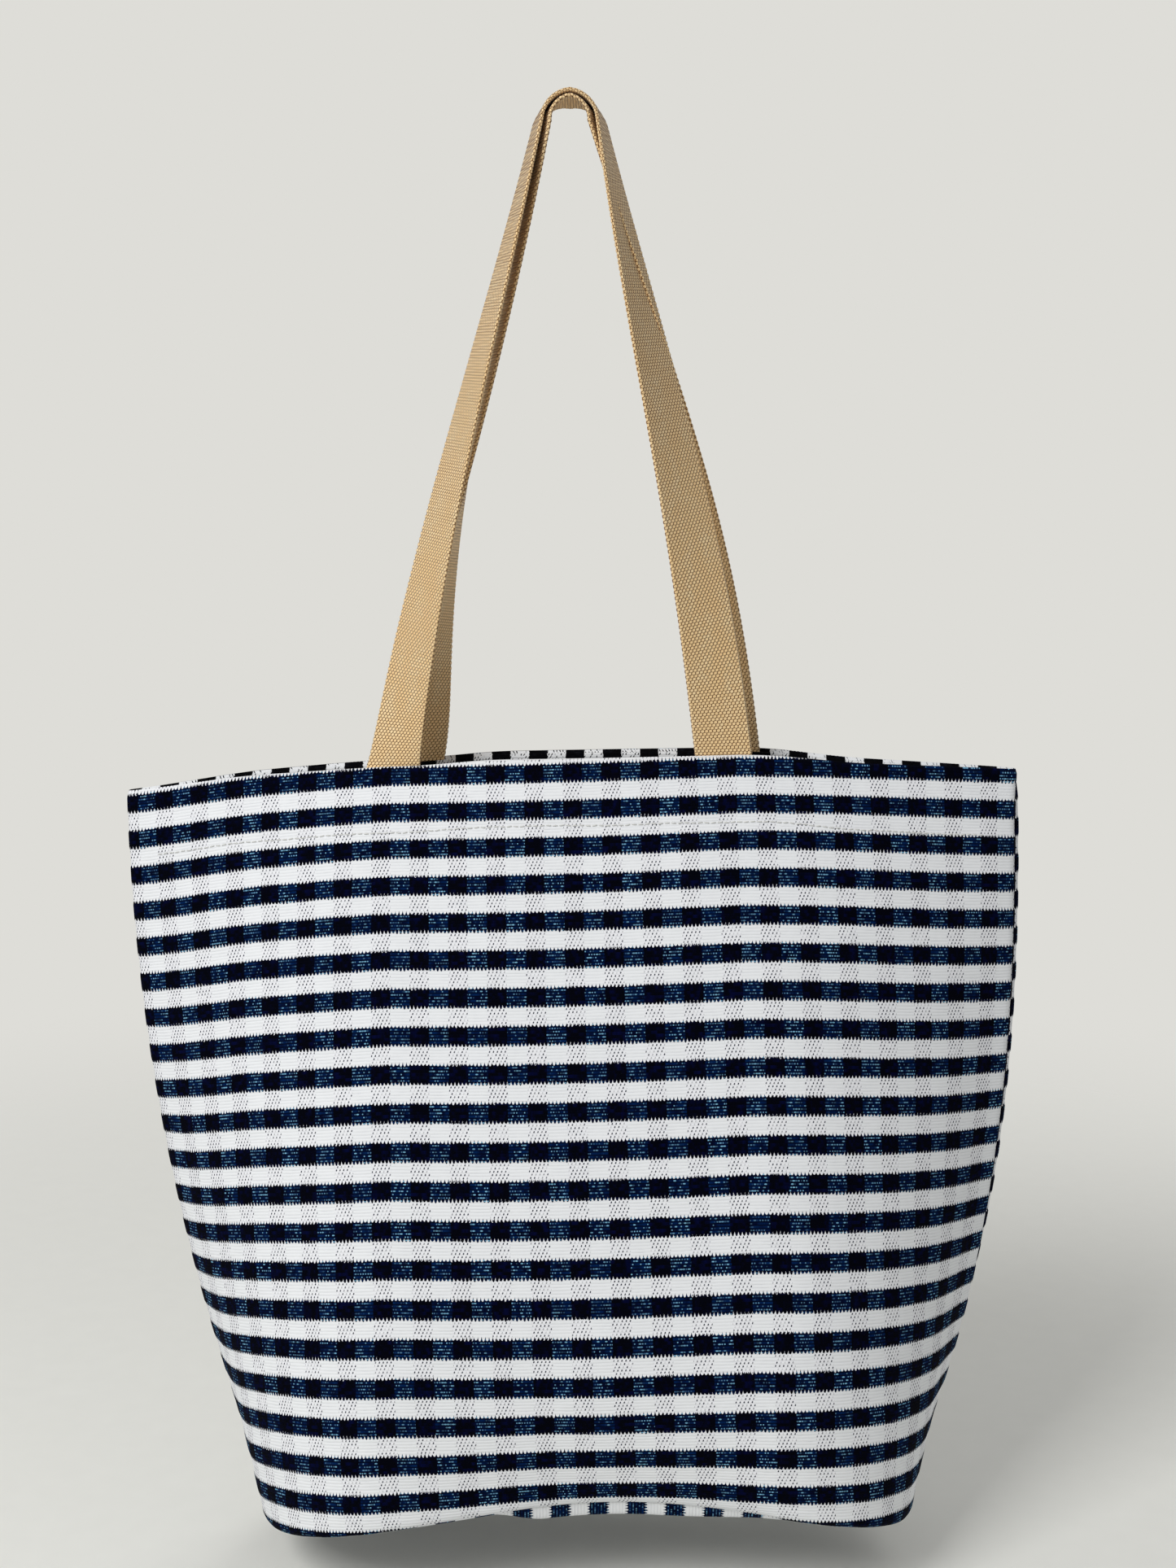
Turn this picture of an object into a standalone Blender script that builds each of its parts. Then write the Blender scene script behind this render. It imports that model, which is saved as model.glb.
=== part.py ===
"""Woven tote bag hanging by its two webbing straps.

Units are metres, +Z is up, +X is to the right seen from the front, and the front faces -Y.
The origin is the point where a hook or knob carries the two strap loops: the middle of the
inner loop's underside.
"""

import math

import bmesh
import bpy
from mathutils import Matrix, Vector

# Driving dimensions: the shell
PANEL_HEIGHT = 0.393        # straight drop from the rim to the base
RIM_Z = -0.334              # height of the rim below the hanging point
RIM_LENGTH = 0.462          # side seam to side seam across the open mouth
RIM_END_RADIUS = 0.008      # how tightly the cloth turns at the top of a side seam
RIM_Y = 0.007               # where the side seams stand at the rim
FRONT_BOW = 0.029           # how far the front rim bows out in the middle
BACK_BOW = 0.005            # how far the back rim bows out in the middle
BASE_LENGTH = 0.350
BASE_DEPTH = 0.145
BASE_CORNER = 0.028
BASE_Y = -0.0325            # middle of the base, a little in front of the rim
SIDE_EASE = 1.5             # the side edges stay wide and draw in towards the base
BULGE_EASE = 1.7            # the walls spread early and hang plumb lower down
CLOTH = 0.0015              # thickness of one layer of the woven cloth
GAP = 0.0003                # clearance between touching pieces

EDGE_TRIM = GAP / RIM_LENGTH  # each panel stops half a gap short of the side seam

# Driving dimensions: the rim, the seams and the thread
FACING_DEPTH = 0.038        # how far the inner facing reaches below the rim
FACING_END = 0.93           # fraction of a panel's half width that the facing covers
HEM_INSET = 0.003           # the hem stitching runs this far above the facing's lower edge
THREAD_WIDTH = 0.0006
THREAD_DEPTH = 0.0003
SEAM_WIDTH = 0.008          # how far a seam allowance stands into the bag
SEAM_CLEARANCE = 0.001      # room between a seam allowance and the cloth that curves past it
SEAM_THICKNESS = 0.003      # two layers of cloth, overcast together
SEAM_END = 0.96             # part of the panel's height that a side seam allowance covers
TACK_SIZE = 0.022           # the box of stitching that holds a strap's end

# Driving dimensions: the straps
STRAP_WIDTH = 0.030
STRAP_THICKNESS = 0.0018
STRAP_X = 0.085             # strap's centre line at the rim, from the middle of the bag
TAIL_LENGTH = 0.033         # the sewn end below the rim
TAIL_RISE = 0.0022          # the sewn end stands this far above the rim
FOLD_OFFSET = 0.001         # the strap folds about a line this far above and outside the rim
FRONT_LEG_BOW = 0.010       # outward bow of the outer loop's legs
BACK_LEG_BOW = 0.006        # and of the inner loop's legs
LEAN_END = 0.2              # part of a leg's height over which it squares up to its own slope
TURN_END = 0.72             # part of a leg's height over which the strap turns edge-on
HOOK_RADIUS = 0.0095        # radius that the inner loop bends round
LOOP_GAP = 0.0022           # room between the two loops, so that one swings clear of the other

# Mesh density
PANEL_BREAKS = (0.0, 0.6, 0.84, 0.94, 0.995, 1.0 - EDGE_TRIM)
PANEL_STEPS = (6, 5, 2, 4, 1)
FACING_BREAKS = (0.0, 0.6, FACING_END)
FACING_STEPS = (6, 4)
PANEL_ROWS = 10
LEG_STEPS = 22
ARC_STEPS = 7

FRONT = -1.0
BACK = 1.0
RIM_OUTLINE = (RIM_LENGTH, 2.0 * RIM_END_RADIUS, RIM_END_RADIUS)
BASE_OUTLINE = (BASE_LENGTH, BASE_DEPTH, BASE_CORNER)
FACING_INSET = CLOTH + STRAP_THICKNESS + 2.0 * GAP
TAIL_INSET = CLOTH + GAP + 0.5 * STRAP_THICKNESS
BASE_Z = RIM_Z - PANEL_HEIGHT
RIM_HALF = 0.5 * RIM_LENGTH + (0.5 * math.pi - 1.0) * RIM_END_RADIUS  # middle to side seam, along the rim


def clear_scene():
    """Remove whatever the scene starts with."""
    for scene_object in list(bpy.data.objects):
        bpy.data.objects.remove(scene_object, do_unlink=True)


def make_material(name, colour, roughness):
    """A plain Principled material."""
    material = bpy.data.materials.new(name)
    material.use_nodes = True
    shader = material.node_tree.nodes["Principled BSDF"]
    shader.inputs["Base Color"].default_value = (*colour, 1.0)
    shader.inputs["Roughness"].default_value = roughness
    shader.inputs["Metallic"].default_value = 0.0
    return material


def add_solid(name, mesh_maker, material, thickness, offset):
    """Turn open faces into a named solid; offset is Solidify's, -1 puts the thickness behind."""
    mesh = bpy.data.meshes.new(name)
    mesh_maker.to_mesh(mesh)
    mesh_maker.free()
    mesh.materials.append(material)
    solid = bpy.data.objects.new(name, mesh)
    solidify = solid.modifiers.new("thickness", "SOLIDIFY")
    solidify.thickness = thickness
    solidify.offset = offset
    collection.objects.link(solid)
    return solid


def make_sheet(name, rows, material, thickness, offset, closed=False):
    """Cloth, webbing or thread through rows of points; closed joins each row's two ends."""
    mesh_maker = bmesh.new()
    grid = [[mesh_maker.verts.new(point) for point in row] for row in rows]
    columns = len(rows[0])
    for upper, lower in zip(grid, grid[1:]):
        for column in range(columns if closed else columns - 1):
            after = (column + 1) % columns
            face = mesh_maker.faces.new((upper[column], lower[column], lower[after], upper[after]))
            face.smooth = True
    return add_solid(name, mesh_maker, material, thickness, offset)


def half_outline(outline, side, across):
    """A point on one half of a rounded rectangle, by its share of the way round.

    across is 0 in the middle of that side and -1 or 1 at the middle of the left or right end.
    """
    length, depth, corner = outline
    front_run = 0.5 * length - corner
    end_run = 0.5 * depth - corner
    quarter_turn = 0.5 * math.pi * corner
    travelled = abs(across) * (front_run + quarter_turn + end_run)
    if travelled <= front_run:
        x, y = travelled, 0.5 * depth
    elif travelled <= front_run + quarter_turn:
        angle = (travelled - front_run) / corner
        x = front_run + corner * math.sin(angle)
        y = end_run + corner * math.cos(angle)
    else:
        x, y = 0.5 * length, end_run - (travelled - front_run - quarter_turn)
    return math.copysign(x, across), side * y


def shell_point(side, across, down):
    """A point on the shell's outer face: across as in half_outline, down from 0 at the rim to 1."""
    rim_x, rim_y = half_outline(RIM_OUTLINE, side, across)
    bow = FRONT_BOW if side == FRONT else BACK_BOW
    rim_y += RIM_Y + side * bow * (1.0 - (rim_x / (0.5 * RIM_LENGTH)) ** 2)
    base_x, base_y = half_outline(BASE_OUTLINE, side, across)
    base_y += BASE_Y
    reach = min(max(down, 0.0), 1.0)
    x = rim_x + (base_x - rim_x) * reach ** SIDE_EASE
    y = rim_y + (base_y - rim_y) * (1.0 - (1.0 - reach) ** BULGE_EASE)
    return Vector((x, y, RIM_Z - PANEL_HEIGHT * down))


def inset_point(side, across, down, inset):
    """A point that lies inset behind the shell's outer face, or in front of it if negative."""
    step = 0.002
    right = shell_point(side, across + step, down) - shell_point(side, across - step, down)
    level = max(down, step)
    falling = shell_point(side, across, level + step) - shell_point(side, across, level - step)
    outward = falling.cross(right).normalized() * -side
    return shell_point(side, across, down) - outward * inset


def spread(breaks, counts):
    """Values from the first break to the last, with a stated number of steps in each stretch."""
    values = [breaks[0]]
    for low, high, count in zip(breaks, breaks[1:], counts):
        values += [low + (high - low) * step / count for step in range(1, count + 1)]
    return values


def mirrored(values):
    """The same values on both sides of zero, left to right."""
    return [-value for value in reversed(values) if value > 0.0] + values


def outward_order(side, values):
    """Left to right for the front and right to left for the back, so that faces point out."""
    return values if side == FRONT else list(reversed(values))


def make_panel(name, side, material):
    """Half of the shell, from one side seam round the body to the other."""
    across = mirrored(spread(PANEL_BREAKS, PANEL_STEPS))
    rows = []
    for row in range(PANEL_ROWS + 1):
        down = row / PANEL_ROWS
        rows.append([shell_point(side, value, down) for value in outward_order(side, across)])
    make_sheet(name, rows, material, CLOTH, -1.0)


def make_band(name, side, across, downs, inset, material, thickness, offset):
    """A strip that follows the shell at a stated inset."""
    rows = []
    for down in downs:
        ordered = outward_order(side, across)
        rows.append([inset_point(side, value, down, inset) for value in ordered])
    make_sheet(name, rows, material, thickness, offset)


def make_facing(name, side, material):
    """The strip inside the rim that covers the straps' sewn ends."""
    across = mirrored(spread(FACING_BREAKS, FACING_STEPS))
    downs = spread((0.0, FACING_DEPTH / PANEL_HEIGHT), (2,))
    make_band(name, side, across, downs, FACING_INSET, material, CLOTH, -1.0)


def make_hem_stitching(name, side, material):
    """The line of thread that holds the facing, seen on the outside of the shell."""
    across = mirrored(spread(FACING_BREAKS, FACING_STEPS))
    middle = (FACING_DEPTH - HEM_INSET) / PANEL_HEIGHT
    half = 0.5 * THREAD_WIDTH / PANEL_HEIGHT
    make_band(name, side, across, (middle - half, middle + half), -GAP, material, THREAD_DEPTH, 1.0)


def make_tail(name, side, hand, material):
    """A strap's sewn end, between the shell and the facing."""
    edges = (STRAP_X - 0.5 * STRAP_WIDTH, STRAP_X, STRAP_X + 0.5 * STRAP_WIDTH)
    across = sorted(hand * edge / RIM_HALF for edge in edges)
    downs = spread((-TAIL_RISE / PANEL_HEIGHT, 0.0, TAIL_LENGTH / PANEL_HEIGHT), (1, 2))
    make_band(name, side, across, downs, TAIL_INSET, material, STRAP_THICKNESS, 0.0)


def make_tack(name, side, hand, material):
    """The square of stitching on the facing that holds a strap's end."""
    middle_down = 0.5 * (TAIL_LENGTH + HEM_INSET)
    inset = FACING_INSET + CLOTH + GAP
    rows = []
    for half in (0.5 * TACK_SIZE, 0.5 * TACK_SIZE - THREAD_WIDTH):
        corners = ((-half, -half), (half, -half), (half, half), (-half, half))
        row = []
        for shift_x, shift_down in outward_order(side, list(corners)):
            across = (hand * STRAP_X + shift_x) / RIM_HALF
            row.append(inset_point(side, across, (middle_down + shift_down) / PANEL_HEIGHT, inset))
        rows.append(row)
    make_sheet(name, rows, material, THREAD_DEPTH, -1.0, closed=True)


def make_side_seam(name, hand, material):
    """The overcast seam allowance that stands into the bag along a side seam."""
    rows = []
    for down in spread((0.0, SEAM_END), (8,)):
        seam = shell_point(FRONT, hand, down)
        near = Vector((seam.x - hand * (CLOTH + SEAM_CLEARANCE), seam.y, seam.z))
        rows.append((near, near - Vector((hand * SEAM_WIDTH, 0.0, 0.0))))
    make_sheet(name, rows, material, SEAM_THICKNESS, 0.0)


def base_outline(height, clearance):
    """The line inside the shell's lower edge, at one height, anticlockwise from above."""
    across = mirrored(spread(PANEL_BREAKS, PANEL_STEPS))
    inset = CLOTH + clearance
    points = [inset_point(FRONT, value, 1.0, inset) for value in across]
    points += [inset_point(BACK, value, 1.0, inset) for value in reversed(across)]
    return [Vector((point.x, point.y, height)) for point in points]


def make_base_panel(name, material):
    """The flat bottom, set inside the shell's lower edge."""
    outline = base_outline(BASE_Z, GAP)
    mesh_maker = bmesh.new()
    mesh_maker.faces.new([mesh_maker.verts.new(point) for point in outline])
    add_solid(name, mesh_maker, material, CLOTH, 1.0)


def make_base_seam(name, material):
    """The overcast allowance that stands up inside the bag all round the base."""
    bottom = BASE_Z + CLOTH + GAP
    rows = [base_outline(bottom + rise, SEAM_CLEARANCE) for rise in (SEAM_WIDTH, 0.0)]
    make_sheet(name, rows, material, SEAM_THICKNESS, -1.0, closed=True)


def strap_stations(side):
    """The right half of a strap loop: middle points, and the way from inner to outer edge.

    The strap leaves the rim flat against the shell, turns edge-on on its way up, and bends
    round the hook with its width along Y. The two loops stay apart until they are both edge-on.
    """
    lift_off = -(TAIL_RISE + 2.0 * GAP) / PANEL_HEIGHT
    start = inset_point(side, STRAP_X / RIM_HALF, lift_off, TAIL_INSET)
    rim_way = inset_point(side, (STRAP_X + STRAP_WIDTH) / RIM_HALF, lift_off, TAIL_INSET) - start
    rim_way.normalize()
    bow = BACK_LEG_BOW
    radius = HOOK_RADIUS + 0.5 * STRAP_THICKNESS
    if side == FRONT:
        bow = FRONT_LEG_BOW
        radius += STRAP_THICKNESS + LOOP_GAP
    centre = Vector((0.0, 0.0, -HOOK_RADIUS))
    run = math.hypot(start.x - centre.x, start.z - centre.z)
    contact = math.atan2(start.z - centre.z, start.x - centre.x) + math.acos(radius / run)
    outward = Vector((math.cos(contact), 0.0, math.sin(contact)))
    backward = Vector((0.0, -side, 0.0))
    stations = []
    for step in range(LEG_STEPS):
        share = step / LEG_STEPS
        middle = start.lerp(centre + outward * radius, share)
        middle += outward * bow * math.sin(math.pi * share) * (1.0 - share)
        middle.y = start.y * (1.0 - share * share)
        level = rim_way.lerp(outward, min(share / LEAN_END, 1.0)).normalized()
        turn = 0.5 * math.pi * min(share / TURN_END, 1.0)
        stations.append((middle, level * math.cos(turn) + backward * math.sin(turn)))
    for step in range(ARC_STEPS + 1):
        angle = contact + (0.5 * math.pi - contact) * step / ARC_STEPS
        middle = centre + Vector((radius * math.cos(angle), 0.0, radius * math.sin(angle)))
        stations.append((middle, backward))
    return stations


def make_strap(name, side, material):
    """A whole strap loop, from the left rim over the hook to the right rim."""
    right_half = []
    for middle, width in strap_stations(side):
        reach = width * 0.5 * STRAP_WIDTH
        right_half.append((middle - reach, middle, middle + reach))
    left_half = []
    for row in right_half[:-1]:
        left_half.append([Vector((-point.x, point.y, point.z)) for point in row])
    rows = left_half + list(reversed(right_half))
    strap = make_sheet(name, rows, material, STRAP_THICKNESS, 0.0)
    rim_edge = shell_point(side, (STRAP_X - 0.5 * STRAP_WIDTH) / RIM_HALF, 0.0)
    pivot = Vector((0.0, rim_edge.y + side * FOLD_OFFSET, RIM_Z + FOLD_OFFSET))
    strap.data.transform(Matrix.Translation(-pivot))
    strap.location = pivot


def build():
    """Make every piece of the bag."""
    check_cloth = make_material("check_cloth", (0.30, 0.34, 0.42), 0.9)
    cloth_reverse = make_material("cloth_reverse", (0.45, 0.45, 0.47), 0.9)
    webbing = make_material("webbing", (0.66, 0.50, 0.31), 0.85)
    thread = make_material("thread", (0.86, 0.86, 0.84), 0.7)
    overcast = make_material("overcast_thread", (0.80, 0.80, 0.79), 0.8)
    for word, side in (("front", FRONT), ("back", BACK)):
        make_panel(f"{word}_panel", side, check_cloth)
        make_facing(f"{word}_facing", side, cloth_reverse)
        make_hem_stitching(f"{word}_hem_stitching", side, thread)
        make_strap(f"{word}_strap", side, webbing)
        for hand_word, hand in (("left", -1.0), ("right", 1.0)):
            make_tail(f"{word}_strap_end_{hand_word}", side, hand, webbing)
            make_tack(f"{word}_strap_tack_{hand_word}", side, hand, thread)
    make_side_seam("left_side_seam", -1.0, overcast)
    make_side_seam("right_side_seam", 1.0, overcast)
    make_base_panel("base_panel", check_cloth)
    make_base_seam("base_seam", overcast)


clear_scene()
collection = bpy.data.collections.new("beach_bag")
bpy.context.scene.collection.children.link(collection)
build()
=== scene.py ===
"""Looks of the woven tote bag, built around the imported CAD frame.

Units are metres, +Z is up, +X is to the right seen from the front, and the front faces -Y.
The walls are lofted shells that are read by distance down the cloth, so that the check keeps its
size where the cloth curves. The UV map named cloth is measured in repeats of the pattern.
"""

import math

import bpy
import numpy as np
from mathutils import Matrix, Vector, noise


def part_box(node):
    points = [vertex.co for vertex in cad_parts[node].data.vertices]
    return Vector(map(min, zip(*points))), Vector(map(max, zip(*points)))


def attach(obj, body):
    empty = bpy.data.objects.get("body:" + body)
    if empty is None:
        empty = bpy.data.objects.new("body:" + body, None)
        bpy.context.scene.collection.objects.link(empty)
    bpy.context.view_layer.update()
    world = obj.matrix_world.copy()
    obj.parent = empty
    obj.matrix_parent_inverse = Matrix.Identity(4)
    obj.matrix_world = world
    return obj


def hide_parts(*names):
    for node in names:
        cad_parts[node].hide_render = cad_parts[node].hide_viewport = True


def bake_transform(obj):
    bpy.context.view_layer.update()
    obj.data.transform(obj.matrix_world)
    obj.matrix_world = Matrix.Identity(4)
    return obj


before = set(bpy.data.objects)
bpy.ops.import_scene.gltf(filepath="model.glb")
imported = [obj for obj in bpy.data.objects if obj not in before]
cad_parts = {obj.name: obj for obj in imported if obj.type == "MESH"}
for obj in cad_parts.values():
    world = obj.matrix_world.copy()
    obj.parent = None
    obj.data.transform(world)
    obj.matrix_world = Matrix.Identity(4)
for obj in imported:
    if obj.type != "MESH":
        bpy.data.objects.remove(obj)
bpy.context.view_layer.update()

FRONT = -1.0
BACK = 1.0
SIDES = (("front", FRONT), ("back", BACK))
HANDS = (("left", -1.0), ("right", 1.0))
UP = np.array((0.0, 0.0, 1.0))

# The wall's main sizes, from the frame
WALL_LOW, WALL_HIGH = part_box("front_panel")
BASE_LOW, BASE_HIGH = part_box("base_panel")
RIM_Z = WALL_HIGH.z
WALL_DROP = WALL_HIGH.z - WALL_LOW.z
RIM_HALF = WALL_HIGH.x + 0.0095            # pulled flat at the seams, the cloth is a little wider
RIM_RADIUS = 0.003                         # of the turn at each side seam
RIM_LENGTH = 2.0 * (RIM_HALF - (0.5 * math.pi - 1.0) * RIM_RADIUS)
RIM_Y = 0.0099                             # the side seams' tops lie this far back
RIM_BOW = {FRONT: 0.0251, BACK: 0.010}     # how far the rim bows out in the middle
CLOTH = 0.0015                             # thickness
WALL_CLOTH = WALL_DROP + 0.0065            # the walls lean, so the cloth is longer than the drop
BASE_LENGTH = BASE_HIGH.x - BASE_LOW.x - 0.002
BASE_CORNER = {-1.0: 0.090, 1.0: 0.076}    # the left corners have slumped rounder than the right ones
BASE_Y = 0.5 * (BASE_LOW.y + BASE_HIGH.y) + 0.0161
BASE_REACH = {FRONT: 0.101, BACK: 0.0585}  # how far the base stands in front of and behind BASE_Y

# How this bag hangs: nothing about it is quite level or quite symmetric
SIDE_EASE = {-1.0: 2.07, 1.0: 2.60}        # how late the left and the right end draw in
BULGE_EASE = 1.38                          # how early the front and the back bulge out
RIM_YAW = -0.0345                          # turns about the vertical, in radians
BASE_YAW = -0.0211
TILT = 0.0210                              # the right side hangs higher, in radians
LEAN = 0.0017                              # the bottom hangs this far to the right
SHIFT_X = -0.0016
DROOP = 0.0100                             # how far the rim's two ends hang down
DROOP_START = 0.090                        # from this far out
DROOP_EASE = 1.2
RIM_DIP = {-1.0: 0.0030, 1.0: 0.0027}      # the fold strays from the rows left and right of the straps
CORNER_DROP = 0.0035                       # the cloth itself hangs lower at the left corner
DIP_FADE = 0.08                            # both are gone by this share of the drop
TUCK = 0.035                               # the front's lower edge is drawn back in the middle
TUCK_START = 0.723
TUCK_X = 0.0177
TUCK_WIDTH = 0.104
SEAM_RISE = 0.0160                         # and it is sewn higher up the cloth there
SEAM_RISE_WIDTH = 0.158
SEAM_SWING = 0.012                         # the right side seam comes round towards the front
BASE_SAG = 0.0075                          # the base shows under the front's raised edge
BASE_SAG_FADE = 0.06                       # and rises again within about this distance behind it
HANG_STEPS = 90
HANG_END = 1.12                            # the columns are worked out this far, in shares of the drop

# The check
COLUMN = 0.020                             # one black and one white warp stripe
ROW = 0.0193                               # one navy and one white weft stripe
COLUMN_START = 0.0036                      # middle of a black warp stripe, from the panel's middle
ROW_START = 0.007                          # middle of the first navy row, below the rim's fold
ROW_SLANT = 0.0112                         # the rows run a little askew to the fold
ROW_RELIEF = 0.00045                       # the navy rows stand proud
BASE_WARP_START = 0.004                    # middle of a white warp stripe, from the base's front edge
BASE_ROW_SHIFT = 0.25                      # in repeats along the base

# The inner pieces
FACING_DEPTH = 0.038
FACING_END = 0.92                          # share of the rim that the facing covers
FACING_INSET = 0.0023                      # from the wall's outer face to the facing's
HEM_LINE = 0.035                           # the stitches that hold the facing, below the rim
HEM_PITCH = 0.0034
TACK_HALF = 0.011                          # half the side of a strap's square of stitches
TACK_PITCH = 0.0028
STITCH_SHARE = 0.85                        # a stitch's length, as a share of its pitch
SEAM_HALF_WIDTH = 0.004
SEAM_HALF_THICKNESS = 0.0012
BASE_SEAM_INSET = 0.0034
OVERCAST_PITCH = 0.0026

# The webbing
STRAP_WIDTH = 0.030
STRAP_THICKNESS = 0.0018
STRAP_PLACE = {
    (FRONT, -1.0): -0.0912, (FRONT, 1.0): 0.0827, (BACK, -1.0): -0.0821, (BACK, 1.0): 0.0880
}
STRAP_INSET = 0.0031                       # from the wall's outer face to the webbing's middle
STRAP_LUMP = STRAP_THICKNESS + 0.0002      # how far the facing stands off over a strap's end
TAIL_LENGTH = 0.033                        # the sewn end, below the rim
HOOK_RADIUS = 0.013
LOOP_Y = 0.004                             # the loops sit a little way back on the hook
LOOP_GAP = 0.0010                          # between the two nested loops
LEG_BOW = {                                # how far each leg bellies outwards
    (FRONT, -1.0): 0.0065, (FRONT, 1.0): 0.0080, (BACK, -1.0): 0.0065, (BACK, 1.0): 0.0100
}
LEG_STEPS = 160
ARC_STEPS = 24
STRAP_STATIONS = 980
FRONT_TURN = math.radians(80.0)            # how far the legs have turned edge-on at the hook
BACK_TURN = math.radians(106.0)
WEB_PITCH = 0.0021                         # seeds of the webbing across its width
WEB_STEP = 0.0030                          # two staggered rows of seeds along it
WEB_EDGE = 0.0018                          # width of the heavier bead along each edge


# ---------------------------------------------------------------- meshes

def smoothstep(low, high, value):
    share = np.clip((value - low) / (high - low), 0.0, 1.0)
    return share * share * (3.0 - 2.0 * share)


def unit(vectors):
    return vectors / np.maximum(np.linalg.norm(vectors, axis=-1, keepdims=True), 1e-12)


def distances(points):
    """How far along a line each of its points is."""
    return np.concatenate(((0.0,), np.cumsum(np.linalg.norm(np.diff(points, axis=0), axis=1))))


def read_line(stations, run, line):
    """Points of a line at the stations, where run is how far along it each of its points is."""
    return np.stack([np.interp(stations, run, line[:, axis]) for axis in range(3)], 1)


def make_object(name, points, faces, corner_uvs, materials, face_materials=None):
    """A smooth-shaded mesh object; corner_uvs has one pair for each corner of each face."""
    mesh = bpy.data.meshes.new(name)
    mesh.from_pydata(points.tolist(), [], faces)
    uv_layer = mesh.uv_layers.new(name="cloth")
    uv_layer.data.foreach_set("uv", np.asarray(corner_uvs, np.float32).ravel())
    for material in materials:
        mesh.materials.append(material)
    if face_materials is not None:
        mesh.polygons.foreach_set("material_index", np.asarray(face_materials, np.int32))
    mesh.polygons.foreach_set("use_smooth", np.ones(len(faces), bool))
    mesh.update()
    piece = bpy.data.objects.new(name, mesh)
    bpy.context.scene.collection.objects.link(piece)
    return piece


def grid_faces(rows, columns):
    """Quads of a grid of points in reading order, which face whoever reads it."""
    row, column = np.meshgrid(np.arange(rows - 1), np.arange(columns - 1), indexing="ij")
    corner = (row * columns + column).ravel()
    return np.stack((corner, corner + columns, corner + columns + 1, corner + 1), 1)


def border(rows, columns):
    """Point numbers round a grid's edge: down the left, along the bottom, up the right and back."""
    left = np.arange(rows) * columns
    bottom = (rows - 1) * columns + np.arange(1, columns)
    right = left[::-1][1:] + columns - 1
    top = np.arange(columns - 2, 0, -1)
    return np.concatenate((left, bottom, right, top))


def solid_sheet(name, outer, inner, uv, materials, outward=True):
    """A closed sheet from the grids of its two faces; uv is the grid that both faces share."""
    rows, columns = outer.shape[:2]
    count = rows * columns
    points = np.concatenate((outer.reshape(-1, 3), inner.reshape(-1, 3)))
    front_faces = grid_faces(rows, columns)
    back_faces = front_faces[:, ::-1] + count
    ring = border(rows, columns)
    after = np.roll(ring, -1)
    rim_faces = np.stack((ring, ring + count, after + count, after), 1)
    faces = np.concatenate((front_faces, back_faces, rim_faces))
    if not outward:
        faces = faces[:, ::-1]
    flat_uv = np.concatenate((uv.reshape(-1, 2), uv.reshape(-1, 2)))
    slots = np.zeros(len(faces), int)
    slots[len(front_faces):len(front_faces) + len(back_faces)] = len(materials) - 1
    return make_object(name, points, faces.tolist(), flat_uv[faces], materials, slots)


# ---------------------------------------------------------------- the bag's wall

def outline(length, reach, corner, side, across):
    """Half of a rounded rectangle by the share of the way round; past 1 it runs on to the other half."""
    front_run = 0.5 * length - corner
    end_run = reach - corner
    quarter = 0.5 * math.pi * corner
    travelled = np.abs(across) * (front_run + quarter + end_run)
    angle = np.clip((travelled - front_run) / corner, 0.0, 0.5 * math.pi)
    x = np.minimum(travelled, front_run) + corner * np.sin(angle)
    y = end_run + corner * np.cos(angle) - np.maximum(travelled - front_run - quarter, 0.0)
    return np.copysign(x, across), side * y


def rim_dip(around):
    """How far the rim's fold lies below its line, at a distance round from the middle."""
    left = RIM_DIP[-1.0] * smoothstep(-0.03, -0.09, around)
    return left + RIM_DIP[1.0] * smoothstep(0.10, 0.16, around)


def corner_drop(around):
    """How far the cloth of the left corner hangs below the rest, at a distance round from the middle."""
    return CORNER_DROP * smoothstep(-0.16, -0.24, around)


def wrinkles(side, around, cloth):
    """Unevenness of the hanging cloth, fading out at the side seams and the rim."""
    depth = np.empty(around.shape)
    for index, place in np.ndenumerate(around):
        down = cloth[index]
        soft = noise.noise(Vector((place * 14.0, down * 6.0, 3.0 + side)))
        fine = noise.noise(Vector((place * 38.0, down * 30.0, 9.0 + side)))
        depth[index] = 0.0016 * soft + 0.0005 * fine
    return depth


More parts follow.
